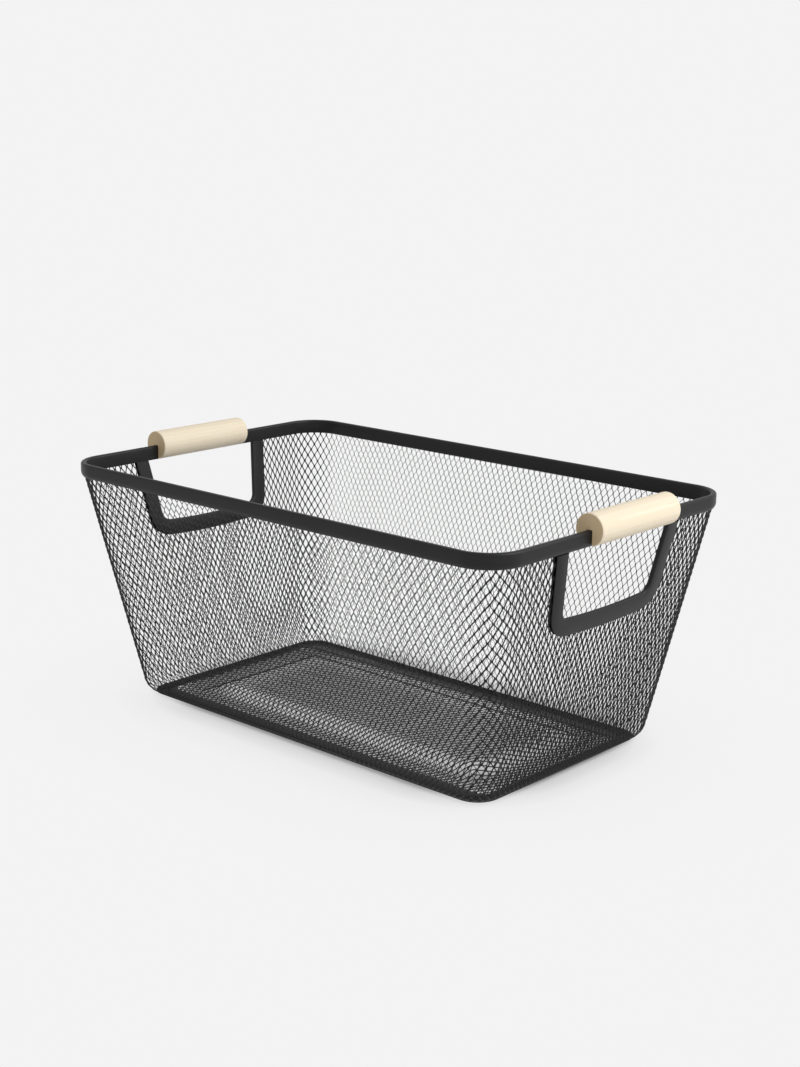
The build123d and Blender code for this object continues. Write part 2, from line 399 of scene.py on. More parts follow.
def wallLevels():
    # The sheet's middle surface as outlines, from inside the flange's edge up to the
    # rim band: reach from the sole, corner radius, height, tilt outwards and zone
    half = basket["sheet"] / 2
    corner, flange = pressedBase["flangeCorner"], pressedBase["flangeSetback"]
    lifted, ease = half + pressedBase["flangeLift"], guideSheet["flangeEase"]
    levels = [
        (-flange - guideSheet["spareEdge"], corner, lifted, 0.0, "none"),
        (-flange - guideSheet["cutWidth"], corner, lifted, 0.0, "none"),
        (-flange, corner, lifted, 0.0, "doubled"),
        (-bendSetback - ease, pressedBase["soleCorner"] - ease, lifted, 0.0, "doubled"),
        (-bendSetback, pressedBase["soleCorner"], half, 0.0, "doubled"),
    ]
    bendSteps = guideSheet["bendSteps"]
    middleRadius = pressedBase["bendRadius"] - half
    for step in range(1, bendSteps + 1):
        angle = turn * step / bendSteps
        radius = pressedBase["soleCorner"] + (
            pressedBase["baseCorner"] - pressedBase["soleCorner"]) * step / bendSteps
        height = pressedBase["bendRadius"] - middleRadius * math.cos(angle)
        levels.append((
            middleRadius * math.sin(angle) - bendSetback,
            radius - half,
            height,
            angle,
            "doubled" if height < pressedBase["doubledHeight"] else "bend",
        ))
    wallSteps = guideSheet["wallSteps"]
    top = rimFoot + guideSheet["guideIntoRim"]
    headRadius = basket["rimCorner"] - basket["meshSetback"]
    for step in range(1, wallSteps + 1):
        height = wallFoot + (top - wallFoot) * step / wallSteps
        rise = (height - wallFoot) / (rimFoot - wallFoot)
        radius = pressedBase["baseCorner"] + (headRadius - pressedBase["baseCorner"]) * rise
        levels.append((
            leanRun * height / rimFoot - half / math.cos(lean),
            radius - half,
            height,
            turn,
            "wall" if height < rimFoot + guideSheet["meshIntoRim"] else "none",
        ))
    return levels


def columnRun(columns, rise):
    # Places of the half columns from a wall's middle to its corner, as shares: the
    # sheet is stretched sideways at the corner
    amount, spread = (low + (high - low) * rise for low, high in zip(
        wallMesh["footWidening"], wallMesh["headWidening"]))
    runs = [0.0]
    for step in range(2 * columns):
        off = (columns - (step + 0.5) / 2) / spread
        runs.append(runs[-1] + 1 + amount * math.exp(-off * off / 2))
    return [run / runs[-1] for run in runs]


def inHandHole(along, slant, grow):
    halfTop, halfFoot, foot = (handHole[key] for key in ("halfTop", "halfFoot", "foot"))
    if slant < foot - grow:
        return False
    share = (slant - foot) / (rimFoot / math.cos(lean) - foot)
    return abs(along) < halfFoot + (halfTop - halfFoot) * share + grow


def countRows(levels, lines):
    # Rows are counted up and down from the top of the bend, each step by the height
    # that a strand's length leaves for a diamond of that width
    footLevel = [level[4] for level in levels].index("wall") - 1
    rowLines = [None] * len(levels)
    rowLines[footLevel] = [wallMesh["rowAtFoot"] + dip / (2 * wallMesh["strandLength"])
                           for dip in lines[footLevel][1]]
    for order in (range(footLevel + 1, len(levels)), range(footLevel - 1, -1, -1)):
        for number in order:
            before = number - order.step
            line, _, stretch, rise, scales = lines[number]
            nearLine = lines[before][0]
            heights = []
            for place in range(len(line)):
                left, right = max(place - 1, 0), min(place + 1, len(line) - 1)
                width = (line[right] - line[left]).length / (right - left) * 2
                squash = 1 - wallMesh["footSquash"] * max(1 - rise * 2, 0.0) * (1 - stretch[place])
                rowHeight = 2 * squash * scales[place] * math.sqrt(
                    wallMesh["strandLength"] ** 2 - (width / 2) ** 2)
                gap = (line[place] - nearLine[place]).length
                if order.step < 0:
                    gap = math.hypot(levels[number][0] - levels[before][0],
                                     levels[number][2] - levels[before][2])
                    rowHeight = wallMesh["baseRowHeight"]
                heights.append(rowLines[before][place] + order.step * gap / rowHeight)
            rowLines[number] = heights
    return rowLines


def wallGuide(name, zonesKept):
    # The guide surface: its map counts columns and rows, and its attributes say which
    # way is out, where mesh is kept and how far strands stand off the surface
    levels = wallLevels()
    longSteps, shortSteps = 2 * wallMesh["longColumns"], 2 * wallMesh["shortColumns"]
    steps = longSteps + shortSteps
    # The sheet's ends meet at the left front corner, where the guide overlaps itself
    before, after = guideSheet["seamOverlap"]
    firstHalf, lastHalf = -longSteps - before, 4 * steps - longSteps + after
    vertices, outward, kept, relief, counts, lines = [], [], [], [], [], []
    for reach, radius, height, angle, zone in levels:
        rise = min(max((height - wallFoot) / (rimFoot - wallFoot), 0.0), 1.0)
        halfLength, halfWidth = soleHalfLength + reach, soleHalfWidth + reach
        total = outlinePoint(halfLength, halfWidth, radius, 0.0)[2]
        cornerAt = halfLength - radius + radius * math.pi / 4
        longRun = columnRun(wallMesh["longColumns"], rise)
        shortRun = columnRun(wallMesh["shortColumns"], rise)
        places = [cornerAt * share for share in longRun]
        places += [total - (total - cornerAt) * share for share in shortRun[-2::-1]]
        line, dips, stretch, scales = [], [], [], []
        for halfColumn in range(firstHalf, lastHalf + 1):
            part, rest = divmod(halfColumn, steps)
            along = places[rest] if part % 2 == 0 else total - places[steps - rest]
            distance = part * total + along
            side, share = outlineSide(halfLength, halfWidth, radius, distance)
            flat = min(share * share, 1.0)
            ownStretch = wallMesh["rowStretch"][side]
            cornerChange = wallMesh["cornerStretch"] - ownStretch
            scales.append(ownStretch + cornerChange * abs(share) ** 3)
            # Columns sag sideways between the foot and the rim, most in a wall's middle
            drift = wallMesh["columnBow"][side] * 4 * rise * (1 - rise) * (1 - flat)
            (x, y), (outX, outY), _ = outlinePoint(
                halfLength, halfWidth, radius, distance + drift)
            bow = 0.0
            if abs(outY) > 0.999 and 0 < rise < 1:    # the flat of a long wall
                bow = wallMesh["longWallBow"] * 4 * rise * (1 - rise) * max(
                    1 - (x / (halfLength - radius)) ** 2, 0.0)
            point = Vector((x - outX * bow, y - outY * bow, height))
            line.append(point)
            dips.append(wallMesh["cornerDip"] * flat)
            toCorner = min(abs(rest - longSteps), abs(steps - rest - longSteps)) / 2
            stretch.append(math.exp(-(toCorner / wallMesh["headWidening"][1]) ** 2 / 2))
            vertices.append(point * mm)
            outward.append(Vector((
                outX * math.sin(angle), outY * math.sin(angle), -math.cos(angle))))
            hole = abs(outX) > 0.9 and inHandHole(
                y, height / math.cos(lean), wallMesh["holeMargin"])
            kept.append(1.0 if zone in zonesKept and not (hole and zone == "wall") else 0.0)
            relief.append(wallMesh["flatRelief"]
                          + (1 - wallMesh["flatRelief"]) * min(angle / turn, 1.0) ** 2)
        lines.append((line, dips, stretch, rise, scales))
    for heights in countRows(levels, lines):
        for place, level in enumerate(heights):
            counts.append(((firstHalf + place) / 2, level))
    columns = lastHalf - firstHalf + 1
    faces = []
    for level in range(len(levels) - 1):
        for place in range(columns - 1):
            corner = level * columns + place
            faces.append((corner, corner + 1, corner + columns + 1, corner + columns))
    return guideMesh(name, vertices, faces, counts, outward, kept, relief)


def guideMesh(name, vertices, faces, counts, outward, kept, relief):
    mesh = bpy.data.meshes.new(name)
    mesh.from_pydata(vertices, [], faces)
    lattice = mesh.uv_layers.new(name="lattice")
    for loop in mesh.loops:
        column, row = counts[loop.vertex_index]
        lattice.data[loop.index].uv = ((column + mapShift) / mapSpan, (row + mapShift) / mapSpan)
    mesh.attributes.new("outward", "FLOAT_VECTOR", "POINT").data.foreach_set(
        "vector", [value for vector in outward for value in vector])
    mesh.attributes.new("kept", "FLOAT", "POINT").data.foreach_set("value", kept)
    mesh.attributes.new("relief", "FLOAT", "POINT").data.foreach_set("value", relief)
    return mesh


def floorGuide():
    # The stamped floor panel: its border lies under the flange and its field is
    # pressed up, over a slope that runs all round
    def marks(halfSize):
        count = math.ceil(halfSize / floorMesh["guideStep"])
        return [halfSize * place / count for place in range(-count, count + 1)]

    margin = floorMesh["guideMargin"] - bendSetback
    xs, ys = marks(soleHalfLength + margin), marks(soleHalfWidth + margin)
    vertices, counts, outward, kept, relief = [], [], [], [], []
    corner = floorMesh["corner"] + floorMesh["edgeSetback"]
    stepWidth = floorMesh["stepHead"] - floorMesh["stepFoot"]
    for y in ys:
        for x in xs:
            pastX = abs(x) - (soleHalfLength - corner)
            pastY = abs(y) - (soleHalfWidth - corner)
            inCorner = pastX > 0 and pastY > 0
            setback = corner - (math.hypot(pastX, pastY) if inCorner else max(pastX, pastY))
            climb = (setback - floorMesh["stepFoot"]) / stepWidth
            climb = min(max(climb, 0.0), 1.0)
            climb = climb * climb * (3 - 2 * climb)
            level = floorMesh["borderLevel"] + climb * (
                floorMesh["fieldLevel"] - floorMesh["borderLevel"])
            vertices.append(Vector((x, y, level)) * mm)
            counts.append((x / floorMesh["columnWidth"], y / floorMesh["rowHeight"]))
            outward.append(Vector((0, 0, 1)))
            kept.append(1.0 if setback > floorMesh["edgeSetback"] else 0.0)
            relief.append(floorMesh["relief"])
    faces = []
    for row in range(len(ys) - 1):
        for place in range(len(xs) - 1):
            first = row * len(xs) + place
            faces.append((first, first + 1, first + len(xs) + 1, first + len(xs)))
    return guideMesh("floorGuide", vertices, faces, counts, outward, kept, relief)


sharpFold = math.radians(38)    # a fold sharper than this keeps a crisp edge


def sweptMesh(name, rings, closedPath):
    # Skin over rings of points; each ring is a closed profile in the same order
    count = len(rings[0])
    vertices = [point * mm for ring in rings for point in ring]
    faces = []
    last = len(rings) if closedPath else len(rings) - 1
    for step in range(last):
        near, far = step * count, (step + 1) % len(rings) * count
        for edge in range(count):
            after = (edge + 1) % count
            faces.append((near + edge, near + after, far + after, far + edge))
    if not closedPath:
        faces.append(tuple(range(count))[::-1])
        faces.append(tuple((len(rings) - 1) * count + edge for edge in range(count)))
    mesh = bpy.data.meshes.new(name)
    mesh.from_pydata(vertices, [], faces)
    bm = bmesh.new()
    bm.from_mesh(mesh)
    bmesh.ops.recalc_face_normals(bm, faces=bm.faces)
    bm.to_mesh(mesh)
    bm.free()
    for polygon in mesh.polygons:
        polygon.use_smooth = True
    mesh.set_sharp_from_angle(angle=sharpFold)
    return mesh


def cornerTurns(steps):
    # Directions round the four corners: signs of the corner and the way out
    for quadrant, (signX, signY) in enumerate(((1, -1), (1, 1), (-1, 1), (-1, -1))):
        for step in range(steps + 1):
            angle = math.radians(90 * (quadrant - 1 + step / steps))
            yield signX, signY, Vector((math.cos(angle), math.sin(angle), 0))


def flangeStripMesh():
    # The closed strip that the flange and the foot of the bend make
    cutEdge = (flangeStrip["halfLength"], flangeStrip["halfWidth"])
    levels = []
    for reach, radius, height, angle, zone in wallLevels():
        if zone == "doubled":
            halves = (soleHalfLength + reach, soleHalfWidth + reach)
            levels.append((halves if levels else cutEdge, radius, height, angle))
    rings = []
    for signX, signY, out in cornerTurns(flangeStrip["cornerSteps"]):
        ring = []
        for side, order in (("innerSide", levels), ("outerSide", levels[::-1])):
            for (halfLength, halfWidth), radius, height, angle in order:
                middle = Vector((
                    signX * (halfLength - radius), signY * (halfWidth - radius), height))
                facing = out * math.sin(angle) - Vector((0, 0, math.cos(angle)))
                ring.append(middle + out * radius + facing * flangeStrip[side])
        rings.append(ring)
    return sweptMesh("flangeStrip", rings, True)


def bondLink(name, width, tiltDegrees):
    # One bond and the four half strands that leave it, as two ribbons side by side.
    # Across and upwards it is measured in columns and rows, outwards in metres.
    tilt, twist = math.radians(tiltDegrees), math.radians(wallMesh["strandTwist"])
    thickness = wallMesh["strandThickness"]
    column, spread = wallMesh["columnWidth"], wallMesh["shoulderSpread"]
    row = 2 * math.sqrt(wallMesh["strandLength"] ** 2 - (column / 2) ** 2)
    shoulderUp = wallMesh["bondLength"] / 2 * wallMesh["shoulderReach"]
    broadWay = Vector((
        math.cos(tilt) * math.cos(twist), math.sin(twist), math.sin(tilt) * math.cos(twist)))
    thickWay = Vector((0, 1, 0)).cross(broadWay).normalized() * -1
    vertices, faces = [], []
    for side in (1, -1):
        centre = Vector((side * width / 2 * broadWay.x, 0, side * width / 2 * broadWay.z))
        end = Vector((side * column / 4, 0, 0))
        shoulder = centre * (1 - spread) + end * spread
        path = [
            (end, -row / 4),
            (shoulder, -shoulderUp),
            (centre, 0.0),
            (shoulder, shoulderUp),
            (end, row / 4),
        ]
        start = len(vertices)
        for middle, along in path:
            for broad, thick in ((-1, -1), (1, -1), (1, 1), (-1, 1)):
                point = middle + Vector((0, along, 0))
                point += broadWay * (broad * width / 2) + thickWay * (thick * thickness / 2)
                vertices.append((point.x / column, point.y / row, point.z * mm))
        for step in range(len(path) - 1):
            for edge in range(4):
                low = start + step * 4 + edge
                high = start + step * 4 + (edge + 1) % 4
                faces.append((low, low + 4, high + 4, high))
    mesh = bpy.data.meshes.new(name)
    mesh.from_pydata(vertices, [], faces)
    return bpy.data.objects.new(name, mesh)


def expandedMeshTree():
    # Sets a bond on every point of the staggered lattice, then lays the lattice on
    # the guide surface by the surface's own map
    tree = bpy.data.node_groups.new("expandedMesh", "GeometryNodeTree")
    tree.is_modifier = True
    sockets = (
        ("Guide", "NodeSocketGeometry"), ("Bond", "NodeSocketObject"),
        ("First column", "NodeSocketInt"), ("Columns", "NodeSocketInt"),
        ("First row", "NodeSocketFloat"), ("Half rows", "NodeSocketInt"),
        ("Finish", "NodeSocketMaterial"),
    )
    for name, kind in sockets:
        tree.interface.new_socket(name, in_out="INPUT", socket_type=kind)
    tree.interface.new_socket("Mesh", in_out="OUTPUT", socket_type="NodeSocketGeometry")
    given = addNode(tree, "NodeGroupInput").outputs
    # Each point's place in the lattice from its number: every other half row is
    # staggered by half a column
    known = {"number": addNode(tree, "GeometryNodeInputIndex").outputs[0]}
    for result, operation, first, second in (
        ("rowsPassed", "DIVIDE", "number", "Columns"),
        ("halfRow", "FLOOR", "rowsPassed", 0.0),
        ("column", "MODULO", "number", "Columns"),
        ("oddRow", "MODULO", "halfRow", 2.0),
        ("stagger", "MULTIPLY", "oddRow", 0.5),
        ("staggered", "ADD", "column", "stagger"),
        ("across", "ADD", "staggered", "First column"),
        ("rowsUp", "MULTIPLY", "halfRow", 0.5),
        ("upwards", "ADD", "rowsUp", "First row"),
        ("count", "MULTIPLY", "Columns", "Half rows"),
    ):
        terms = {}
        for place, term in enumerate((first, second)):
            if isinstance(term, str):
                term = known[term] if term in known else given[term]
            terms[place] = term
        known[result] = addNode(
            tree, "ShaderNodeMath", {"operation": operation}, terms).outputs[0]
    spot = addNode(tree, "ShaderNodeCombineXYZ", None, {0: known["across"], 1: known["upwards"]})
    points = addNode(tree, "GeometryNodePoints", None, {
        "Count": known["count"], "Position": spot.outputs[0]})
    lattice = addNode(tree, "GeometryNodeInputNamedAttribute",
                      {"data_type": "FLOAT_VECTOR"}, {"Name": "lattice"}).outputs[0]
    here = addNode(tree, "GeometryNodeInputPosition").outputs[0]
    onMap = addNode(tree, "ShaderNodeVectorMath", {"operation": "SCALE"},
                    {0: here, "Scale": 1 / mapSpan}).outputs[0]
    # What the guide surface has at that place on its map
    fields = [("place", "FLOAT_VECTOR", here)]
    for name, kind in (("outward", "FLOAT_VECTOR"), ("kept", "FLOAT"), ("relief", "FLOAT")):
        attribute = addNode(tree, "GeometryNodeInputNamedAttribute",
                            {"data_type": kind}, {"Name": name})
        fields.append((name, kind, attribute.outputs[0]))
    there = {}
    for name, kind, field in fields:
        there[name] = addNode(tree, "GeometryNodeSampleUVSurface", {"data_type": kind}, {
            "Mesh": given["Guide"], "Value": field, 2: lattice, 3: onMap}).outputs
    lacking = addNode(tree, "FunctionNodeCompare", {"operation": "LESS_THAN"},
                      {0: there["kept"][0], 1: 0.5}).outputs[0]
    missing = addNode(tree, "FunctionNodeBooleanMath", {"operation": "NOT"},
                      {0: there["kept"][1]}).outputs[0]
    cut = addNode(tree, "FunctionNodeBooleanMath", {"operation": "OR"}, {0: lacking, 1: missing})
    held = addNode(tree, "GeometryNodeDeleteGeometry", {"domain": "POINT"},
                   {"Geometry": points.outputs[0], "Selection": cut.outputs[0]})
    bond = addNode(tree, "GeometryNodeObjectInfo", None, {"Object": given["Bond"]})
    links = addNode(tree, "GeometryNodeInstanceOnPoints", None, {
        "Points": held.outputs[0], "Instance": bond.outputs["Geometry"]})
    real = addNode(tree, "GeometryNodeRealizeInstances", None, {0: links.outputs[0]})
    flatPlace = addNode(tree, "ShaderNodeSeparateXYZ", None, {0: here}).outputs[2]
    stand = addNode(tree, "ShaderNodeMath", {"operation": "MULTIPLY"}, {
        0: flatPlace, 1: there["relief"][0]})
    facing = addNode(tree, "ShaderNodeVectorMath", {"operation": "NORMALIZE"},
                     {0: there["outward"][0]})
    lift = addNode(tree, "ShaderNodeVectorMath", {"operation": "SCALE"},
                   {0: facing.outputs[0], "Scale": stand.outputs[0]})
    moved = addNode(tree, "ShaderNodeVectorMath", {"operation": "ADD"},
                    {0: there["place"][0], 1: lift.outputs[0]})
    laid = addNode(tree, "GeometryNodeSetPosition", None, {
        "Geometry": real.outputs[0], "Position": moved.outputs[0]})
    painted = addNode(tree, "GeometryNodeSetMaterial", None, {
        "Geometry": laid.outputs[0], "Material": given["Finish"]})
    addNode(tree, "NodeGroupOutput", None, {0: painted.outputs[0]})
    return tree


def addPiece(mesh, nodeName):
    # A finished piece takes a node's place and rides with the basket
    piece = bpy.data.objects.new(mesh.name, mesh)
    scene.collection.objects.link(piece)
    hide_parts(nodeName)
    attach(piece, "root")
    print(mesh.name, len(mesh.polygons), "faces")
    return piece


def expandedMesh(name, guide, bond, sizes):
    # Runs the tree on a guide surface and returns the result as a plain mesh
    carrier = bpy.data.objects.new(name + "Guide", guide)
    scene.collection.objects.link(carrier)
    modifier = carrier.modifiers.new("expandedMesh", "NODES")
    modifier.node_group = meshTree
    values = {"Bond": bond, "Finish": coatMaterial, **sizes}
    for item in meshTree.interface.items_tree:
        if item.in_out == "INPUT" and item.name in values:
            modifier[item.identifier] = values[item.name]
    evaluated = carrier.evaluated_get(bpy.context.evaluated_depsgraph_get())
    mesh = bpy.data.meshes.new_from_object(evaluated)
    mesh.name = name
    mesh.materials.clear()
    mesh.materials.append(coatMaterial)
    bpy.data.objects.remove(carrier)
    return mesh


wallBond = bondLink("wallBond", wallMesh["strandWidth"], wallMesh["strandTilt"])
floorBond = bondLink("floorBond", wallMesh["strandWidth"], floorMesh["strandTilt"])
meshTree = expandedMeshTree()
wallSurface = wallGuide("wallSurface", ("wall",))
bendSurface = wallGuide("bendSurface", ("doubled", "bend"))
halfAround = 2 * (wallMesh["longColumns"] + wallMesh["shortColumns"])
around = 2 * halfAround
cornerStart = wallMesh["longColumns"] - wallMesh["cornerColumns"]
cornerEnd = wallMesh["longColumns"] + wallMesh["cornerColumns"]
columnRanges = (
    ("wallMeshFront", "wall_mesh_front", -cornerStart, cornerStart),
    ("wallCornerRightFront", "wall_corner_right_front", cornerStart, cornerEnd),
    ("wallMeshRight", "wall_mesh_right", cornerEnd, halfAround - cornerEnd),
    ("wallCornerRightBack", "wall_corner_right_back",
     halfAround - cornerEnd, halfAround - cornerStart),
    ("wallMeshBack", "wall_mesh_back", halfAround - cornerStart, halfAround + cornerStart),
    ("wallCornerLeftBack", "wall_corner_left_back",
     halfAround + cornerStart, halfAround + cornerEnd),
    ("wallMeshLeft", "wall_mesh_left", halfAround + cornerEnd, around - cornerEnd),
    ("wallCornerLeftFront", "wall_corner_left_front", around - cornerEnd, around - cornerStart),
)
firstRow, halfRows = wallMesh["wallRows"]
for pieceName, nodeName, first, last in columnRanges:
    mesh = expandedMesh(pieceName, wallSurface, wallBond, {
        "First column": first, "Columns": last - first,
        "First row": firstRow, "Half rows": halfRows})
    addPiece(mesh, nodeName)
firstRow, halfRows = wallMesh["bendRows"]
bendRange = {"First column": -cornerStart, "Columns": around,
             "First row": firstRow, "Half rows": halfRows}
bendMesh = expandedMesh("baseBend", bendSurface, wallBond, bendRange)
joined = bmesh.new()
joined.from_mesh(bendMesh)
joined.from_mesh(flangeStripMesh())
joined.to_mesh(bendMesh)
joined.free()
addPiece(bendMesh, "wall_base_bend")
floorColumns = math.ceil(soleHalfLength / floorMesh["columnWidth"])
floorRows = math.ceil(soleHalfWidth / floorMesh["rowHeight"])
floorNet = expandedMesh("floorPanel", floorGuide(), floorBond, {
    "First column": -floorColumns, "Columns": 2 * floorColumns + 1,
    "First row": float(-floorRows), "Half rows": 4 * floorRows + 1})
addPiece(floorNet, "floor_mesh_panel")
print("expanded mesh laid")

# Rim band: strip folded over the mesh, rolled crown, its lower lip drawn in. The
# profile's points are the distance in from the outer face and the height.
rimBand = {
    "profile": (
        (0.0, 161.2), (0.0, 166.1), (0.1, 166.6), (0.4, 167.1), (0.85, 167.4), (1.4, 167.5),
        (2.6, 167.5), (3.15, 167.4), (3.6, 167.1), (3.9, 166.6), (4.0, 166.1),
        (4.0, 158.3), (3.9, 157.9), (3.6, 157.7), (3.3, 157.8), (3.2, 158.2),
        (3.2, 166.0), (0.8, 166.0), (0.8, 161.0), (1.1, 159.6), (1.9, 158.3),
        (1.9, 157.9), (1.6, 157.7), (1.2, 158.0), (0.5, 159.1), (0.1, 160.2),
    ),
    "cornerSteps": 24,
}


def makeRim():
    radius = basket["rimCorner"]
    flatLong = basket["rimLength"] / 2 - radius
    flatShort = basket["rimWidth"] / 2 - radius
    rings = []
    for signX, signY, out in cornerTurns(rimBand["cornerSteps"]):
        middle = Vector((signX * flatLong, signY * flatShort, 0))
        rings.append([middle + out * (radius - inset) + Vector((0, 0, height))
                      for inset, height in rimBand["profile"]])
    mesh = sweptMesh("rimBand", rings, True)
    mesh.materials.append(coatMaterial)
    addPiece(mesh, "rim_band")


makeRim()
print("rim band made")

# Handle frames: a folded channel round three sides of each hand hole. The profile's
# points are the distance from the hole's edge and the height over the sheet's middle.
handleFrame = {
    "sag": 1.3,
    "corner": 7.0,
    "headGap": 0.1,
    "sideSteps": 8,
    "turnSteps": 12,
    "profile": (
        (1.3, 1.6), (0.75, 1.5), (0.3, 1.15), (0.05, 0.6), (0.0, 0.0),
        (0.05, -0.6), (0.3, -1.15), (0.75, -1.5), (1.3, -1.6),
        (10.7, -1.6), (11.1, -1.4), (11.2, -1.1), (10.9, -0.8), (1.2, -0.7),
        (1.2, 0.7), (10.9, 0.8), (11.2, 1.1), (11.1, 1.4), (10.7, 1.6),
    ),
}


def holePath(grow):
    # The hole's edge in its wall: across and up the slope, from the head at one side,
    # round the two lower corners, to the head at the other
    slantHead = (rimFoot - handleFrame["headGap"]) / math.cos(lean)
    slope = (handHole["halfTop"] - handHole["halfFoot"]) / (
        rimFoot / math.cos(lean) - handHole["foot"])
    sideAngle = math.atan(slope)
    radius = handleFrame["corner"] + grow
    foot = handHole["foot"] - grow
    # Middle of the corner arc, at a radius from the foot line and from the side line
    centreUp = foot + radius
    sideAt = handHole["halfFoot"] + slope * (centreUp - handHole["foot"])
    centreAcross = sideAt + grow / math.cos(sideAngle) - radius / math.cos(sideAngle)
    half = []
    sideSteps, turnSteps = handleFrame["sideSteps"], handleFrame["turnSteps"]
    for step in range(sideSteps + 1):
        up = slantHead + (centreUp - radius * math.sin(sideAngle) - slantHead) * step / sideSteps
        across = handHole["halfFoot"] + slope * (up - handHole["foot"])
        half.append((across + grow / math.cos(sideAngle), up))
    for step in range(1, turnSteps + 1):
        angle = -sideAngle - (math.pi / 2 - sideAngle) * step / turnSteps
        half.append((centreAcross + radius * math.cos(angle), centreUp + radius * math.sin(angle)))
    for step in range(1, turnSteps + 1):
        across = centreAcross * (1 - step / turnSteps)
        sag = handleFrame["sag"] * (1 - (across / centreAcross) ** 2)
        half.append((across, foot - sag))
    return half + [(-across, up) for across, up in half[-2::-1]]


def makeFrame(side, name, nodeName):
    # Wall coordinates: middle of the sheet, across along Y, up the slope
    upSlope = Vector((side * math.sin(lean), 0, math.cos(lean)))
    out = Vector((side * math.cos(lean), 0, -math.sin(lean)))
    origin = Vector((side * soleHalfLength, 0, 0)) - out * basket["sheet"] / 2
    paths = [(holePath(inset), stand) for inset, stand in handleFrame["profile"]]
    rings = []
    for step in range(len(paths[0][0])):
        ring = []
        for path, stand in paths:
            across, up = path[step]
            ring.append(origin + Vector((0, across, 0)) + upSlope * up + out * stand)
        rings.append(ring)
    mesh = sweptMesh(name, rings, False)
    mesh.materials.append(coatMaterial)
    addPiece(mesh, nodeName)


makeFrame(1, "handleFrameRight", "handle_frame_right")
makeFrame(-1, "handleFrameLeft", "handle_frame_left")
print("handle frames made")

# Grips: turned dowels, slotted from below up to the axis
grip = {
    "radius": 10.0,
    "length": 80.0,
    "easing": 0.8,
    "slotWidth": 4.2,
    "axisHeight": 167.6,
    "endSteps": 6,
    "roundSteps": 48,
    "shifts": {"grip_left": -1.5, "grip_right": 9.0},
}


def makeGrip(side, name, nodeName):
    axisX = side * (basket["rimLength"] / 2 - basket["rimThickness"] / 2)
    shift = grip["shifts"][nodeName]
    endSteps, roundSteps = grip["endSteps"], grip["roundSteps"]
    ends = []
    for step in range(endSteps + 1):
        angle = math.pi / 2 * step / endSteps
        ends.append((grip["length"] / 2 - grip["easing"] * (1 - math.sin(angle)),
                     grip["radius"] - grip["easing"] * (1 - math.cos(angle))))
    half = grip["slotWidth"] / 2
    rings = []
    for along, radius in [(-along, radius) for along, radius in ends[::-1]] + ends:
        slotAngle = math.asin(half / radius)
        midSlot = -radius * math.cos(slotAngle) / 2
        ring = [Vector((half, 0, 0.0)), Vector((half, 0, midSlot))]
        for step in range(roundSteps + 1):
            angle = -math.pi / 2 + slotAngle + (2 * math.pi - 2 * slotAngle) * step / roundSteps
            ring.append(Vector((radius * math.cos(angle), 0, radius * math.sin(angle))))
        ring += [Vector((-half, 0, midSlot)), Vector((-half, 0, 0.0))]
        middle = Vector((axisX, shift + along, grip["axisHeight"]))
        rings.append([middle + point for point in ring])
    mesh = sweptMesh(name, rings, False)
    mesh.materials.append(birchMaterial)
    addPiece(mesh, nodeName)


makeGrip(-1, "gripLeft", "grip_left")
makeGrip(1, "gripRight", "grip_right")
print("grips made")

# Studio: pale floor and surround, one large soft light high on the right. The painted
# shade steps are the surround's share in the floor's tone, by the distance in millimetres
# from the painted shadow's core, a rectangle smaller than the basket's base: low shares
# paint shade under the basket and along its edge, with a lighter band painted between.
studio = {
    "floorReach": 9.0,    # metres, as the soft light's size and place
    "floorColor": "#dedede",
    "floorGrain": "#dadada",
    "grainScale": 900.0,
    "surroundColor": "#f3f3f3",
    "surroundLight": 0.42,
    "ceilingShare": 0.75,
    "ceilingRise": (0.1, 0.5),
    # Core of the painted shade: inset from the sole and shifted off the middle
    "paintedShadeInset": 55.0,
    "paintedShadeShift": (-1.0, 8.0),
    # Painted shade and a painted lighter band: (distance in mm, share of the surround's glow)
    "paintedShadeSteps": ((0, 0.08), (10, 0.12), (22, 0.36), (31, 0.4), (42, 0.06), (59, 0.05),
                  (67, 0.3), (78, 0.7), (92, 0.9), (120, 0.97), (210, 1.0)),
    "keyPower": 40.0,
    "keySize": 1.8,
    "keyPlace": (1.6, 0.7, 1.5),
    "keyAim": (0.0, 0.0, 0.08),
}


def seesBackground(tree):
    # 1 for the rays that show the background: camera, mirror and see-through rays
    seen = addNode(tree, "ShaderNodeLightPath").outputs
    either = addNode(tree, "ShaderNodeMath", {"operation": "MAXIMUM"}, {
        0: seen["Is Camera Ray"], 1: seen["Is Glossy Ray"]})
    return addNode(tree, "ShaderNodeMath", {"operation": "MAXIMUM"}, {
        0: either.outputs[0], 1: seen["Is Transmission Ray"]}).outputs[0]


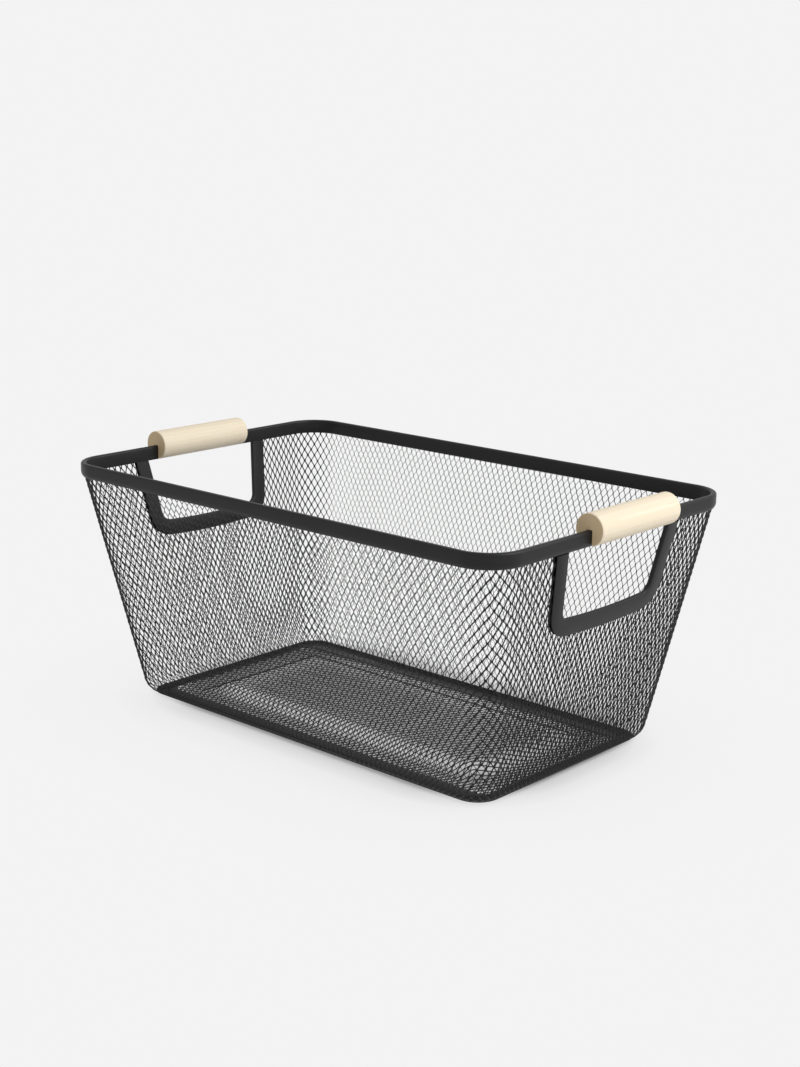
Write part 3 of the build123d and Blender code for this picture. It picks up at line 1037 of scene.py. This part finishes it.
def makeStudio():
    reach = studio["floorReach"]
    sheet = bpy.data.meshes.new("studioFloor")
    sheet.from_pydata([(-reach, -reach, 0), (reach, -reach, 0), (reach, reach, 0),
                       (-reach, reach, 0)], [], [(0, 1, 2, 3)])
    floor = bpy.data.objects.new("studioFloor", sheet)
    scene.collection.objects.link(floor)
    # Matt pale table. To the camera it is nearly as white as the surround, but near the
    # basket the surround's glow is faded out by a painted shade ramp, so the matt floor and
    # its real shadow show there, deepest right below the basket and along its edge, with a
    # lighter band painted in between
    material, tree = newMaterial("mattPaleTable")
    coords = addNode(tree, "ShaderNodeTexCoord").outputs["Object"]
    apart = addNode(tree, "ShaderNodeSeparateXYZ", None, {0: coords})

    def beyond(axis, halfSize):
        moved = addNode(tree, "ShaderNodeMath", {"operation": "SUBTRACT"}, {
            0: apart.outputs[axis], 1: studio["paintedShadeShift"][axis] * mm})
        away = addNode(tree, "ShaderNodeMath", {"operation": "ABSOLUTE"}, {0: moved.outputs[0]})
        past = addNode(tree, "ShaderNodeMath", {"operation": "SUBTRACT"}, {
            0: away.outputs[0], 1: (halfSize - bendSetback - studio["paintedShadeInset"]) * mm})
        return addNode(tree, "ShaderNodeMath", {"operation": "MAXIMUM"}, {
            0: past.outputs[0], 1: 0.0}).outputs[0]

    aside = addNode(tree, "ShaderNodeCombineXYZ", None, {
        0: beyond(0, soleHalfLength), 1: beyond(1, soleHalfWidth)})
    distance = addNode(tree, "ShaderNodeVectorMath", {"operation": "LENGTH"},
                       {0: aside.outputs[0]}).outputs["Value"]
    reachOfPaintedShade = studio["paintedShadeSteps"][-1][0]
    run = addNode(tree, "ShaderNodeMath", {"operation": "DIVIDE"}, {
        0: distance, 1: reachOfPaintedShade * mm})
    # Painted shade: the surround's glow fades by the distance from the basket, not by light
    paintedShadeRamp = addNode(tree, "ShaderNodeValToRGB", None, {0: run.outputs[0]})
    ramp = paintedShadeRamp.color_ramp.elements
    while len(ramp) < len(studio["paintedShadeSteps"]):
        ramp.new(0.5)
    for element, (place, share) in zip(ramp, studio["paintedShadeSteps"]):
        element.position = place / reachOfPaintedShade
        element.color = (share, share, share, 1.0)
    grain = addNode(tree, "ShaderNodeTexNoise", None, {
        "Vector": coords, "Scale": studio["grainScale"]})
    tint = addNode(tree, "ShaderNodeMix", {"data_type": "RGBA"}, {
        0: grain.outputs[0], 6: hexColor(studio["floorColor"]), 7: hexColor(studio["floorGrain"])})
    matt = addNode(tree, "ShaderNodeBsdfDiffuse", None, {"Color": tint.outputs[2]})
    glow = addNode(tree, "ShaderNodeEmission", None, {"Color": hexColor(studio["surroundColor"])})
    shown = addNode(tree, "ShaderNodeMath", {"operation": "MULTIPLY"}, {
        0: seesBackground(tree), 1: paintedShadeRamp.outputs[0]})
    blend = addNode(tree, "ShaderNodeMixShader", None, {
        0: shown.outputs[0], 1: matt.outputs[0], 2: glow.outputs[0]})
    addNode(tree, "ShaderNodeOutputMaterial", None, {"Surface": blend.outputs[0]})
    sheet.materials.append(material)
    world = bpy.data.worlds.new("studioSurround")
    scene.world = world
    world.use_nodes = True
    tree = world.node_tree
    tree.nodes.clear()
    dim = addNode(tree, "ShaderNodeBackground", None, {
        "Color": hexColor("#ffffff"), "Strength": studio["surroundLight"]})
    way = addNode(tree, "ShaderNodeTexCoord").outputs["Generated"]
    height = addNode(tree, "ShaderNodeSeparateXYZ", None, {0: way}).outputs[2]
    ceiling = addNode(tree, "ShaderNodeMapRange", {"interpolation_type": "SMOOTHSTEP"}, {
        "Value": height,
        "From Min": studio["ceilingRise"][0],
        "From Max": studio["ceilingRise"][1],
        "To Min": 1.0,
        "To Max": studio["ceilingShare"],
    })
    bright = addNode(tree, "ShaderNodeBackground", None, {
        "Color": hexColor(studio["surroundColor"]), "Strength": ceiling.outputs[0]})
    blend = addNode(tree, "ShaderNodeMixShader", None, {
        0: seesBackground(tree), 1: dim.outputs[0], 2: bright.outputs[0]})
    addNode(tree, "ShaderNodeOutputWorld", None, {"Surface": blend.outputs[0]})
    lamp = bpy.data.lights.new("softKey", "AREA")
    lamp.energy = studio["keyPower"]
    lamp.size = studio["keySize"]
    key = bpy.data.objects.new("softKey", lamp)
    key.location = studio["keyPlace"]
    aim = Vector(studio["keyAim"]) - key.location
    key.rotation_euler = aim.to_track_quat("-Z", "Y").to_euler()
    scene.collection.objects.link(key)


makeStudio()
print("studio set")
